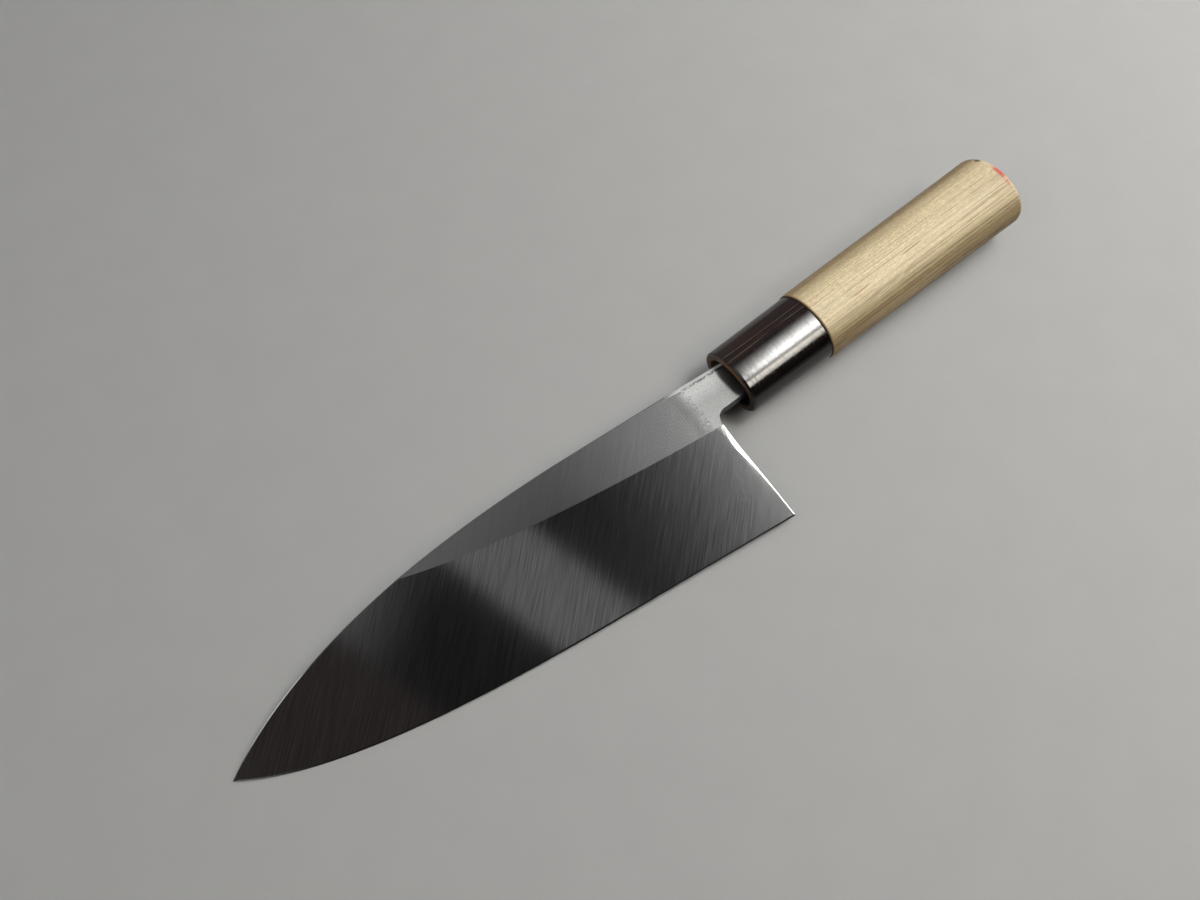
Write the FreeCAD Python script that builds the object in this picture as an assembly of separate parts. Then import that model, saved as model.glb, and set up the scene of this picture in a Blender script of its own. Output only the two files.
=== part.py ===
import FreeCAD, Part
import math
import os

# Deba knife: bevelled blade with tang, horn ferrule, wooden grip and tang bedding.
# Millimetres. X runs along the handle towards the butt, Y towards the spine, Z up off the flat back.
# The knife is modelled about the handle's axis and set down on the table at the end.

# Grip, oval in section
grip_length = 92.2
grip_front_width = 26.6
grip_front_thickness = 19.6
grip_butt_width = 29.0
grip_butt_thickness = 21.4
grip_front_rounding = 0.6
grip_butt_rounding = 2.2

# Ferrule, an oval tube round the grip's tenon
ferrule_length = 33.8
ferrule_front_width = 24.4
ferrule_front_thickness = 17.9
ferrule_back_width = 25.7
ferrule_back_thickness = 18.8
ferrule_wall = 2.6
ferrule_front_rounding = 0.7
ferrule_back_rounding = 0.25

# Fits inside the handle
tenon_gap = 0.15
mouth_depth = 6.5
mouth_recess = 3.0
bed_thickness = 0.6
bed_end_depth = 2.0

# Blade outline
spine_root_rise = 6.9
spine_angle = 4.6
spine_straight = 58.6
spine_belly_pull = 42.7
spine_tip_pull = 36.6
spine_tip_angle = 33.0
choil_distance = 12.7
heel_drop = 46.1
edge_angle = 7.9
edge_straight = 60.1
edge_belly_pull = 38.8
edge_tip_pull = 30.2
edge_tip_angle = 37.2
tip_reach = 188.8
tip_drop = 6.1
neck_drop = 6.2
machi_radius = 4.0

# Blade thickness
back_drop = 3.0
blade_thickness = 6.0
front_taper_angle = 0.55
bevel_angle_heel = 9.3
bevel_angle_tip = 5.0
edge_land = 0.35
spine_chamfer = 0.55
choil_facet = 2.0
choil_facet_depth = 1.1
machi_chamfer = 0.35

# Hollow ground into the flat back
hollow_length = 126.0
hollow_height = 36.0
hollow_depth = 0.45
hollow_from_heel = 68.0
hollow_drop = 12.5
hollow_angle = 5.0
hollow_round = 10.0

# Tang
tang_length = 84.0
tang_root_depth = 6.0
tang_end_rise = 2.9
tang_end_drop = 3.1
tang_end_thickness = 3.6

# How the knife lies on a table: on the ferrule's front and the belly of the edge
rest_roll = 4.0
rest_pitch = 1.6


def V(x, y, z):
    return FreeCAD.Vector(x, y, z)


def oval(x, width, thickness):
    ellipse = Part.Ellipse(V(x, width / 2, 0), V(x, 0, thickness / 2), V(x, 0, 0))
    return Part.Wire([ellipse.toShape()])


def oval_bar(x0, width0, thickness0, x1, width1, thickness1):
    return Part.makeLoft([oval(x0, width0, thickness0), oval(x1, width1, thickness1)], True, True)


def end_edges(shape, x):
    found = []
    for edge in shape.Edges:
        box = edge.BoundBox
        if abs(box.XMin - x) < 1e-3 and abs(box.XMax - x) < 1e-3:
            found.append(edge)
    return found


def round_end(shape, x, radius):
    return shape.makeFillet(radius, end_edges(shape, x))


def along(start, end, share):
    return start + (end - start) * share


# Stations along the handle's axis
mouth_x = -ferrule_length
tenon_x = mouth_x + mouth_depth
fill_x = mouth_x + mouth_recess
choil_x = mouth_x - choil_distance
neck_x = choil_x + machi_radius
tang_root_x = mouth_x + tang_root_depth
tang_end_x = mouth_x + tang_length
back_z = -back_drop


def ferrule_width(x):
    return along(ferrule_front_width, ferrule_back_width, (x - mouth_x) / ferrule_length)


def ferrule_thickness(x):
    return along(ferrule_front_thickness, ferrule_back_thickness, (x - mouth_x) / ferrule_length)


def bore_bar(x0, x1, gap):
    inset = 2 * (ferrule_wall + gap)
    return oval_bar(x0, ferrule_width(x0) - inset, ferrule_thickness(x0) - inset,
                    x1, ferrule_width(x1) - inset, ferrule_thickness(x1) - inset)


# Blade outline in plan
spine_turn = math.radians(spine_angle)
edge_turn = math.radians(edge_angle)
spine_dir = V(-math.cos(spine_turn), math.sin(spine_turn), 0)
edge_dir = V(-math.cos(edge_turn), math.sin(edge_turn), 0)
spine_tip_turn = math.radians(spine_tip_angle)
edge_tip_turn = math.radians(edge_tip_angle)
spine_tip_dir = V(-math.cos(spine_tip_turn), -math.sin(spine_tip_turn), 0)
edge_tip_dir = V(-math.cos(edge_tip_turn), math.sin(edge_tip_turn), 0)

tip = V(mouth_x - tip_reach, -tip_drop, 0)
spine_root = V(mouth_x, spine_root_rise, 0)
spine_bend = spine_root + spine_dir * spine_straight
tang_top = spine_root - spine_dir * (tang_root_depth / math.cos(spine_turn))
heel = V(choil_x, -heel_drop, 0)
edge_bend = heel + edge_dir * edge_straight


def bezier(p0, p1, p2, p3):
    curve = Part.BezierCurve()
    curve.setPoles([p0, p1, p2, p3])
    return curve


spine_curve = bezier(spine_bend, spine_bend + spine_dir * spine_belly_pull,
                     tip - spine_tip_dir * spine_tip_pull, tip)
edge_curve = bezier(edge_bend, edge_bend + edge_dir * edge_belly_pull,
                    tip - edge_tip_dir * edge_tip_pull, tip)


def blade_outline(z):
    machi_low = V(choil_x, -neck_drop - machi_radius, 0)
    machi_high = V(neck_x, -neck_drop, 0)
    bow = machi_radius * (1 - math.sqrt(0.5))
    machi_mid = V(choil_x + bow, -neck_drop - bow, 0)
    tang_low = V(tang_root_x, -neck_drop, 0)
    end_low = V(tang_end_x, -tang_end_drop, 0)
    end_high = V(tang_end_x, tang_end_rise, 0)
    edges = [
        Part.makeLine(end_high, tang_top),
        Part.makeLine(tang_top, spine_bend),
        spine_curve.toShape(),
        edge_curve.toShape().reversed(),
        Part.makeLine(edge_bend, heel),
        Part.makeLine(heel, machi_low),
        Part.Arc(machi_low, machi_mid, machi_high).toShape(),
        Part.makeLine(machi_high, tang_low),
        Part.makeLine(tang_low, end_low),
        Part.makeLine(end_low, end_high),
    ]
    wire = Part.Wire(Part.__sortEdges__(edges))
    wire.translate(V(0, 0, z))
    return wire


def front_height(x):
    # The front face drops from the choil towards the tip
    return back_z + blade_thickness + min(0.0, x - choil_x) * math.tan(math.radians(front_taper_angle))


def sheet_cutter(low, high, push):
    # Solid swept from a ruled sheet between two smooth lines of points
    marks = [0.0]
    for step in range(1, len(low)):
        before = low[step - 1] + high[step - 1]
        after = low[step] + high[step]
        marks.append(marks[-1] + (after - before).Length / 2)
    rails = []
    for points in (low, high):
        curve = Part.BSplineCurve()
        curve.interpolate(Points=points, Parameters=marks)
        rails.append(curve.toShape())
    return Part.makeRuledSurface(rails[0], rails[1]).extrude(push)


def edge_stations():
    # Points and directions along the cutting edge, run on past the heel and the tip
    run_on = 8.0
    stations = [(heel - edge_dir * run_on, edge_dir, 0.0)]
    curve_length = edge_curve.length()
    full = edge_straight + curve_length
    for share in (0.0, 0.35, 0.7):
        stations.append((heel + edge_dir * edge_straight * share, edge_dir, edge_straight * share / full))
    for share in (0.0, 0.2, 0.4, 0.6, 0.8, 1.0):
        tangent = edge_curve.tangent(share)[0]
        done = edge_straight + edge_curve.length(0.0, share) if share > 0 else edge_straight
        stations.append((edge_curve.value(share), tangent, done / full))
    stations.append((tip + edge_tip_dir * run_on, edge_tip_dir, 1.0))
    return stations


def bevel_cutter():
    outside = 4.0
    inside = 58.0
    inside_tip = 40.0
    low = []
    high = []
    for point, direction, share in edge_stations():
        rise = math.tan(math.radians(along(bevel_angle_heel, bevel_angle_tip, share)))
        inward = V(direction.y, -direction.x, 0)
        reach = along(inside, inside_tip, share)
        foot = V(point.x, point.y, back_z + edge_land)
        low.append(foot - V(inward.x, inward.y, rise) * outside)
        high.append(foot + V(inward.x, inward.y, rise) * reach)
    return sheet_cutter(low, high, V(0, 0, 30))


def bevel_height(x, y):
    # Height of the bevel over a point of the plan, from the nearest point of the edge
    best = None
    full = edge_straight + edge_curve.length()
    for step in range(0, 201):
        share = step / 200
        done = share * full
        if done < edge_straight:
            point = heel + edge_dir * done
        else:
            point = edge_curve.value(edge_curve.parameterAtDistance(done - edge_straight, 0.0))
        gap = math.hypot(x - point.x, y - point.y)
        if best is None or gap < best[0]:
            best = (gap, share)
    rise = math.tan(math.radians(along(bevel_angle_heel, bevel_angle_tip, best[1])))
    return back_z + edge_land + best[0] * rise


def spine_cutter():
    # Narrow facet along the front corner of the spine, fading out at the tip
    stations = [(spine_root - spine_dir * 12.0, spine_dir), (spine_root, spine_dir)]
    stations.append((along(spine_root, spine_bend, 0.5), spine_dir))
    for share in (0.0, 0.15, 0.3, 0.45, 0.6, 0.75, 0.88, 0.97):
        stations.append((spine_curve.value(share), spine_curve.tangent(share)[0]))
    low = []
    high = []
    for point, direction in stations:
        top = min(front_height(point.x), bevel_height(point.x, point.y))
        width = min(spine_chamfer, 0.45 * (top - back_z))
        inward = V(-direction.y, direction.x, 0)
        corner = V(point.x, point.y, top)
        down = V(-inward.x, -inward.y, -1) * 3
        up = V(inward.x, inward.y, 1) * 3
        middle = corner + V(inward.x, inward.y, -1) * (width / 2)
        low.append(middle + down)
        high.append(middle + up)
    return sheet_cutter(low, high, V(0, 6, 12))


def choil_cutter():
    # Eased front corner of neck, machi and choil, widest a quarter of the way down the choil
    machi_low_y = -neck_drop - machi_radius
    centre = V(neck_x, machi_low_y, 0)
    neck_end = V(mouth_x + mouth_recess, -neck_drop, 0)
    stations = []
    for share in (0.0, 0.5):
        stations.append((along(neck_end, centre + V(0, machi_radius, 0), share), V(0, 1, 0)))
    for angle in (90, 110, 130, 150, 168):
        inward = V(math.cos(math.radians(angle)), math.sin(math.radians(angle)), 0)
        stations.append((centre + inward * machi_radius, inward))
    low = []
    high = []
    for point, inward in stations:
        corner = V(point.x, point.y, front_height(point.x))
        middle = corner + V(inward.x, inward.y, -1) * (machi_chamfer / 2)
        lean = V(inward.x, inward.y, 1) * 1.2
        low.append(middle - lean)
        high.append(middle + lean)
    for share, width in ((0.08, 0.55), (0.22, 1.0), (0.45, 0.62), (0.7, 0.3), (1.0, 0.12), (1.15, 0.1)):
        y = along(machi_low_y, -heel_drop, share)
        top = min(front_height(choil_x), bevel_height(choil_x, max(y, -heel_drop)))
        inner = V(choil_x - choil_facet * width, y, top)
        outer = V(choil_x, y, top - choil_facet_depth * width)
        lean = V(-choil_facet, 0, choil_facet_depth) * (1.6 / choil_facet)
        low.append(outer - lean)
        high.append(inner + lean)
    return sheet_cutter(low, high, V(0, 0, 12))


def hollow_cutter():
    # Upper cap of a long flat ellipsoid, sunk into the back by the depth of the hollow
    spread = math.sqrt(1 - ((hollow_round - hollow_depth) / hollow_round) ** 2)
    stretch = FreeCAD.Matrix()
    stretch.scale(hollow_length / 2 / spread, hollow_height / 2 / spread, hollow_round)
    ball = Part.makeSphere(1.0)
    ball.rotate(V(0, 0, 0), V(0, 1, 0), 90)
    cap = ball.transformGeometry(stretch)
    cap.rotate(V(0, 0, 0), V(0, 0, 1), -hollow_angle)
    cap.translate(V(choil_x - hollow_from_heel, -hollow_drop, back_z + hollow_depth - hollow_round))
    return cap


def side_prism(points):
    corners = [V(x, -100, z) for x, z in points]
    return Part.Face(Part.makePolygon(corners + corners[:1])).extrude(V(0, 200, 0))


def make_blade():
    spare = 4.0
    far = 30.0
    solid = Part.Face(blade_outline(back_z)).extrude(V(0, 0, blade_thickness + spare))
    front = back_z + blade_thickness
    run_x = tang_end_x + spare
    front_share = (run_x - tang_root_x) / (tang_end_x - tang_root_x)
    back_share = (run_x - neck_x) / (tang_end_x - neck_x)
    tip_x = tip.x - spare
    above = side_prism([
        (tip_x, front_height(tip_x)), (choil_x, front), (tang_root_x, front),
        (run_x, along(front, tang_end_thickness / 2, front_share)), (run_x, far), (tip_x, far)])
    # The flat back ends at the machi, and the neck and tang thin from there on
    below = side_prism([
        (neck_x, back_z), (run_x, along(back_z, -tang_end_thickness / 2, back_share)),
        (run_x, -far), (neck_x, -far)])
    solid = solid.cut(above)
    solid = solid.cut(below)
    solid = solid.cut(bevel_cutter())
    solid = solid.cut(spine_cutter())
    solid = solid.cut(choil_cutter())
    solid = solid.cut(hollow_cutter())
    return solid.removeSplitter().Solids[0]


def rectangle(x, low_y, high_y, low_z, high_z):
    corners = [V(x, low_y, low_z), V(x, high_y, low_z), V(x, high_y, high_z), V(x, low_y, high_z)]
    return Part.makePolygon(corners + corners[:1])


def make_bed():
    end_x = tang_end_x + bed_end_depth
    half = tang_end_thickness / 2 + bed_thickness
    front = back_z + blade_thickness
    mouth_side = rectangle(tenon_x, -neck_drop - bed_thickness, spine_root_rise + bed_thickness,
                           back_z - bed_thickness, front + bed_thickness)
    inner_side = rectangle(end_x, -tang_end_drop - bed_thickness, tang_end_rise + bed_thickness, -half, half)
    return Part.makeLoft([mouth_side, inner_side], True, True)


def make_handle(bed):
    grip = oval_bar(0, grip_front_width, grip_front_thickness,
                    grip_length, grip_butt_width, grip_butt_thickness)
    grip = round_end(grip, grip_length, grip_butt_rounding)
    grip = round_end(grip, 0, grip_front_rounding)
    tenon = bore_bar(tenon_x, 0, tenon_gap)
    return grip.fuse(tenon).cut(bed).removeSplitter().Solids[0]


def make_ferrule():
    tube = oval_bar(mouth_x, ferrule_front_width, ferrule_front_thickness,
                    0, ferrule_back_width, ferrule_back_thickness)
    tube = round_end(tube, mouth_x, ferrule_front_rounding)
    tube = round_end(tube, 0, ferrule_back_rounding)
    spare = 2.0
    return tube.cut(bore_bar(mouth_x - spare, spare, 0.0)).Solids[0]


def make_resin(bed, blade):
    plug = bore_bar(fill_x, tenon_x, tenon_gap)
    return plug.fuse(bed).cut(blade).removeSplitter().Solids[0]


blade = make_blade()
bed = make_bed()
nodes = {
    "blade": blade,
    "handle": make_handle(bed),
    "ferrule": make_ferrule(),
    "tang_resin": make_resin(bed, blade),
}

# Set the knife down: table at z = 0, box centred over the origin
turn = FreeCAD.Rotation(V(0, 1, 0), -rest_pitch).multiply(FreeCAD.Rotation(V(1, 0, 0), rest_roll))
box = FreeCAD.BoundBox()
for shape in nodes.values():
    shape.Placement = FreeCAD.Placement(V(0, 0, 0), turn).multiply(shape.Placement)
    box.add(shape.optimalBoundingBox(False, False))
shift = V(-box.Center.x, -box.Center.y, -box.ZMin)

os.makedirs("parts", exist_ok=True)
for name, shape in nodes.items():
    shape.translate(shift)
    shape.exportStep("parts/" + name + ".step")
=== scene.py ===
import math
from collections import namedtuple

import bmesh
import bpy
from bpy.props import FloatProperty, FloatVectorProperty, IntProperty, PointerProperty
from mathutils import Euler, Matrix, Vector


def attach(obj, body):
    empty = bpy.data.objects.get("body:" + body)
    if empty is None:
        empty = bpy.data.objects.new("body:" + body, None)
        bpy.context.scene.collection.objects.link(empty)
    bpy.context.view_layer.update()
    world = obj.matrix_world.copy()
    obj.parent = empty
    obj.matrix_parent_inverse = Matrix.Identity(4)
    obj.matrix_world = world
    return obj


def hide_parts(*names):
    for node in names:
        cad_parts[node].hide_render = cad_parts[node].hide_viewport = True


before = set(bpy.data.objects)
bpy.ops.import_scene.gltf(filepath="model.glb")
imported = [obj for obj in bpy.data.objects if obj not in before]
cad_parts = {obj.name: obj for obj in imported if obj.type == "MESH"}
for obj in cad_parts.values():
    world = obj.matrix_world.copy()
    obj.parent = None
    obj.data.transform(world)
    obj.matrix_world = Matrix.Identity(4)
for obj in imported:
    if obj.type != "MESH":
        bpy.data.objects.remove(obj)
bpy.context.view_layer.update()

bl_info = {
    "name": "Deba knife",
    "version": (1, 0, 0),
    "blender": (4, 5, 0),
    "location": "3D View > Sidebar > Deba",
    "description": "Dresses a single-bevel kitchen knife and sets it on a pale table",
    "category": "Object",
}

MM = 0.001


# Property helpers: every length is given in millimetres and kept in metres

def length(name, description, millimetres):
    return FloatProperty(name=name, description=description, default=millimetres * MM,
                         subtype="DISTANCE", unit="LENGTH", precision=5)


def angle(name, description, degrees):
    return FloatProperty(name=name, description=description, default=math.radians(degrees),
                         subtype="ANGLE", unit="ROTATION")


def amount(name, description, value):
    return FloatProperty(name=name, description=description, default=value, min=0.0)


def count(name, description, value):
    return IntProperty(name=name, description=description, default=value, min=1)


def colour(name, description, rgb):
    return FloatVectorProperty(name=name, description=description, default=rgb,
                               subtype="COLOR", size=3, min=0.0, max=1.0)


def place(name, description, metres):
    return FloatVectorProperty(name=name, description=description, default=metres,
                               subtype="TRANSLATION", unit="LENGTH", size=3, precision=4)


class DebaLay(bpy.types.PropertyGroup):
    """How the knife lies and where its handle's axis runs"""

    roll: angle("Roll", "Turn about the handle's axis as the knife rests", 4.0)
    pitch: angle("Pitch", "Tilt of the handle's axis, butt up", 1.6)
    grip_length: length("Grip length", "Wood from ferrule to butt", 92.2)
    ferrule_length: length("Ferrule length", "Horn from mouth to wood", 33.8)
    mouth_width: length("Mouth width", "Ferrule's front from edge side to spine side", 24.4)
    mouth_thickness: length("Mouth thickness", "Ferrule's front from back to front", 17.9)


class DebaBlade(bpy.types.PropertyGroup):
    """Outline and grind of the blade, in the knife's own axes"""

    spine_root_rise: length("Spine at the mouth", "Height of the spine over the axis", 6.9)
    spine_angle: angle("Spine angle", "Rise of the straight spine", 4.6)
    spine_straight: length("Straight spine", "Length of the straight stretch", 58.6)
    spine_belly_pull: length("Spine belly pull", "Handle of the curve at the straight", 42.7)
    spine_tip_pull: length("Spine tip pull", "Handle of the curve at the tip", 36.6)
    spine_tip_angle: angle("Spine tip angle", "Drop of the spine at the tip", 33.0)
    choil_distance: length("Choil distance", "From ferrule mouth to choil", 12.7)
    heel_drop: length("Heel drop", "Heel below the axis", 46.1)
    edge_angle: angle("Edge angle", "Rise of the straight edge", 7.9)
    edge_straight: length("Straight edge", "Length of the straight stretch", 60.1)
    edge_belly_pull: length("Edge belly pull", "Handle of the curve at the straight", 38.8)
    edge_tip_pull: length("Edge tip pull", "Handle of the curve at the tip", 30.2)
    edge_tip_angle: angle("Edge tip angle", "Rise of the edge at the tip", 37.2)
    tip_reach: length("Tip reach", "From ferrule mouth to tip", 188.8)
    tip_drop: length("Tip drop", "Tip below the axis", 6.1)
    neck_drop: length("Neck drop", "Underside of the neck below the axis", 6.2)
    machi_radius: length("Machi radius", "Rounding between neck and choil", 4.0)
    back_drop: length("Back drop", "Flat back below the axis", 3.0)
    thickness: length("Thickness", "Blade at the choil", 6.0)
    front_taper: angle("Front taper", "Fall of the front face towards the tip", 0.55)
    bevel_heel: angle("Bevel at the heel", "Slope of the bevel at the heel", 9.1)
    bevel_tip: angle("Bevel at the tip", "Slope of the bevel at the tip", 4.2)
    bevel_fall: amount("Bevel fall", "How late the bevel's slope falls towards the tip", 1.42)
    edge_land: length("Edge land", "Thickness to which the bevel runs out", 0.35)
    koba: length("Koba", "Width of the steep last bevel along the edge", 0.45)
    koba_land: length("Koba land", "Thickness left at the edge", 0.12)
    spine_chamfer: length("Spine chamfer", "Facet on the front corner of the spine", 0.35)
    spine_fall: angle("Spine fall", "Slope of that facet", 30.0)
    neck_chamfer: length("Neck chamfer", "The same facet over the neck", 1.2)
    neck_run: length("Neck run", "Stretch before the choil over which the facet widens", 12.0)
    choil_facet: length("Choil facet", "Widest part of the rounding on the choil", 1.5)
    choil_facet_depth: length("Choil facet depth", "Fall of that rounding", 0.6)
    facet_support: length("Facet support", "Flat row of faces that ends that rounding", 0.15)
    machi_chamfer: length("Machi chamfer", "Eased corner of machi and neck", 0.35)
    hollow_length: length("Hollow length", "Hollow of the back, along the blade", 126.0)
    hollow_height: length("Hollow height", "Hollow of the back, across the blade", 36.0)
    hollow_depth: length("Hollow depth", "Hollow of the back at its middle", 0.45)
    hollow_from_heel: length("Hollow place", "From choil to the hollow's middle", 68.0)
    hollow_drop: length("Hollow drop", "Hollow's middle below the axis", 12.5)
    hollow_angle: angle("Hollow angle", "Turn of the hollow towards the heel", 5.0)
    tang_length: length("Tang length", "From ferrule mouth to the tang's end", 84.0)
    tang_root_depth: length("Tang root", "From ferrule mouth to the tang's taper", 6.0)
    tang_end_rise: length("Tang end rise", "Top of the tang's end over the axis", 2.9)
    tang_end_drop: length("Tang end drop", "Bottom of the tang's end below the axis", 3.1)
    tang_end_thickness: length("Tang end thickness", "Tang at its end", 3.6)
    bevel_rows: count("Bevel rows", "Faces from edge to shinogi", 20)
    facet_columns: count("Facet columns", "Faces across the rounding on the choil", 4)
    face_rows: count("Face rows", "Faces from shinogi to spine", 10)
    face_columns: count("Face columns", "Faces from choil to the end of the shinogi", 70)
    tip_columns: count("Tip columns", "Faces from the end of the shinogi to the tip", 46)
    neck_columns: count("Neck columns", "Faces round the machi", 12)
    tang_columns: count("Tang columns", "Faces along neck and tang", 12)


class DebaSteel(bpy.types.PropertyGroup):
    """Finish of the blade"""

    base: colour("Steel", "Colour of the ground steel", (0.55, 0.555, 0.555))
    face_roughness: amount("Face roughness", "Satin of the upper face and back", 0.15)
    bevel_roughness: amount("Bevel roughness", "Gloss of the ground bevel", 0.09)
    stretch: amount("Stretch", "How far grinding lines spread reflections", 0.3)
    grind_angle: angle("Grind angle", "Direction of the grinding lines from the axis", 42.0)
    line_depth: length("Line depth", "Depth of the grinding lines", 0.0006)
    line_tone: amount("Line tone", "How much the grinding lines lighten and darken the steel", 0.26)
    broad_share: amount("Broad share", "Share of broad lines among the fine ones", 0.08)
    heel_lines: amount("Heel lines", "Share of the lines' tone that is left at the heel", 0.35)
    heel_wear: amount("Heel wear", "Roughness that wear adds to the bevel at the choil", 0.13)
    neck_start: length("Neck start", "Place after which the neck changes its tone, from the wood", -60.0)
    scale_start: length("Scale start", "Where the rough forged skin begins, from the wood", -54.0)
    scale_full: length("Scale full", "Where the neck is fully rough, from the wood", -44.0)
    scale_depth: length("Scale depth", "Depth of the forged pits", 0.008)
    scale_roughness: amount("Scale roughness", "Roughness that the forged neck adds", 0.3)
    pit_tone: amount("Pit tone", "How much the forged pits darken the neck", 0.35)
    scab_tone: amount("Scab tone", "How much flakes of scale darken the line beside the facet", 0.85)
    dull: colour("Dull steel", "Colour of the rough facet on the spine of the neck", (0.78, 0.78, 0.77))
    dull_metal: amount("Dull metal", "How metallic that facet still is", 0.25)


class DebaHorn(bpy.types.PropertyGroup):
    """Finish of the ferrule"""

    dark: colour("Dark horn", "Polished horn", (0.002, 0.002, 0.002))
    brown: colour("Brown streaks", "Paler streaks along the horn", (0.027, 0.0125, 0.009))
    line: colour("Growth lines", "Two pale lines along the horn", (0.10, 0.085, 0.07))
    cut: colour("Cut horn", "Bare horn of the mouth", (0.30, 0.14, 0.048))
    ochre: colour("Ochre horn", "Mouth on the spine side", (0.085, 0.052, 0.021))
    first_line: length("First line", "Growth line nearer to the axis", 3.7)
    second_line: length("Second line", "Growth line nearer to the spine side", 5.9)
    roughness: amount("Roughness", "Polish of the horn", 0.14)
    cut_roughness: amount("Cut roughness", "Roughness that the bare mouth adds", 0.38)
    cut_depth: length("Cut depth", "How far the bare mouth face reaches", 0.45)
    polish_depth: length("Polish depth", "Relief that polishing left", 0.006)
    refraction: amount("Refraction", "Index of refraction of horn", 1.6)


class DebaWood(bpy.types.PropertyGroup):
    """Finish of the grip"""

    pale: colour("Pale wood", "Early wood", (0.755, 0.635, 0.415))
    deep: colour("Deep wood", "Late wood and grain lines", (0.52, 0.39, 0.22))
    strand: colour("Strands", "Few broken reddish lines", (0.36, 0.20, 0.09))
    # Painted shade: this tint darkens the grip's flanks and its rear, standing in for how light falls off
    # round the handle
    painted_shade_tint: colour("Painted shade", "Tint of the browner flanks", (0.45, 0.40, 0.33))
    near_strand: length("Near strand", "Strand next to the horn, over the axis", -3.7)
    far_strand: length("Far strand", "Strand half-way to the butt, over the axis", -2.3)
    rim: colour("Rim", "Darker end grain at the ferrule", (0.30, 0.19, 0.08))
    stain: colour("Stain", "Faint red stain at the butt", (0.55, 0.035, 0.02))
    ring_share: amount("Ring share", "Share of growth rings in the grain; the rest is fibres", 0.35)
    roughness: amount("Roughness", "Bare sanded wood", 0.58)
    shine: amount("Shine", "Strength of the wood's reflections", 0.4)
    grain_depth: length("Grain depth", "Relief of the grain", 0.04)


class DebaBedding(bpy.types.PropertyGroup):
    """Finish of the bedding round the tang"""

    dark: colour("Dark bedding", "Darker grains of the skin", (0.010, 0.008, 0.007))
    pale: colour("Pale bedding", "Paler grains of the skin", (0.035, 0.026, 0.020))
    least_roughness: amount("Least roughness", "Smoothest grains of the skin", 0.55)
    most_roughness: amount("Most roughness", "Roughest grains of the skin", 0.8)
    grain_depth: length("Grain depth", "Relief of the skin", 0.15)


class DebaStage(bpy.types.PropertyGroup):
    """Table, light and camera"""

    floor: colour("Table", "Pale plain table", (0.39, 0.39, 0.387))
    floor_roughness: amount("Table roughness", "Dull finish of the table", 0.8)
    floor_side: length("Table side", "Side of the square table", 6000.0)
    camera_at: place("Camera", "Where the camera stands", (-0.08928, -0.0680, 0.25777))
    camera_aim: place("Aim", "Point of the table at the middle of the picture", (-0.01461, 0.02641, 0.0))
    lens: amount("Lens", "Focal length in millimetres on a 36 mm sensor", 26.1)
    key_light: amount("Key light", "Brightness of the tall window beyond the ferrule", 27.0)
    key_tint: colour("Key tint", "Colour of the tall window", (1.0, 0.99, 0.95))
    side_light: amount("Side light", "Brightness of the small window beside it", 13.5)
    side_tint: colour("Side tint", "Colour of the small window", (1.0, 0.94, 0.84))
    butt_light: amount("Butt light", "Brightness of the window past the butt", 4.6)
    tip_light: amount("Tip light", "Brightness of the window past the tip", 2.2)
    low_light: amount("Low light", "Brightness of the low panel beyond the butt", 6.0)
    spill_light: amount("Spill light", "Brightness of the wall next to the tall window", 0.46)
    ceiling_light: amount("Ceiling light", "Brightness of the ceiling next to the tall window", 0.15)
    card_light: amount("Card light", "Brightness of the low card beyond the tip", 1.0)
    strip_light: amount("Strip light", "Brightness of the strip over the blade", 0.16)
    warm_light: amount("Warm light", "Brightness of the warm card over the tip", 0.033)
    warm_tint: colour("Warm tint", "Colour of the warm card", (1.0, 0.80, 0.77))
    room_light: amount("Room light", "Brightness of the lit side of the room", 0.22)
    room_shade: amount("Room shade", "Brightness of the dark side of the room", 0.016)
    wall_light: amount("Wall light", "Brightness of the wall that the steel mirrors from behind", 0.22)
    backdrop: amount("Backdrop", "Brightness of the backdrop where it is seen directly", 0.45)


SETTINGS = (
    ("deba_lay", DebaLay),
    ("deba_blade", DebaBlade),
    ("deba_steel", DebaSteel),
    ("deba_horn", DebaHorn),
    ("deba_wood", DebaWood),
    ("deba_bedding", DebaBedding),
    ("deba_stage", DebaStage),
)


# Knife axes: X along the handle to the butt, Y to the spine, Z up off the back, zero where wood meets horn

def knife_axes(lay):
    """Matrix from the knife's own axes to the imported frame, found from the handle that lies there"""
    turn = Matrix.Rotation(-lay.pitch, 4, "Y") @ Matrix.Rotation(lay.roll, 4, "X")
    back = turn.inverted()
    points = [back @ vertex.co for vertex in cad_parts["handle"].data.vertices]
    butt = max(point.x for point in points)
    sides = [point.y for point in points]
    heights = [point.z for point in points]
    middle_y = (min(sides) + max(sides)) / 2
    middle_z = (min(heights) + max(heights)) / 2
    start = Vector((butt - lay.grip_length, middle_y, middle_z))
    return Matrix.Translation(turn @ start) @ turn


# Blade geometry

HALVINGS = 40
EDGE_STEPS = 64


def along(start, end, share):
    return start + (end - start) * share


def bezier(poles, t):
    s = 1.0 - t
    return poles[0] * s ** 3 + poles[1] * 3 * s * s * t + poles[2] * 3 * s * t * t + poles[3] * t ** 3


def bezier_slope(poles, t):
    """Direction of the curve, a third as long as its derivative"""
    s = 1.0 - t
    return ((poles[1] - poles[0]) * s * s + (poles[2] - poles[1]) * 2 * s * t
            + (poles[3] - poles[2]) * t * t)


def crossing(value, low, high):
    """Where a steadily changing value passes zero"""
    rising = value(high) > value(low)
    for _ in range(HALVINGS):
        middle = (low + high) / 2
        if (value(middle) > 0) == rising:
            high = middle
        else:
            low = middle
    return (low + high) / 2


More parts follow.
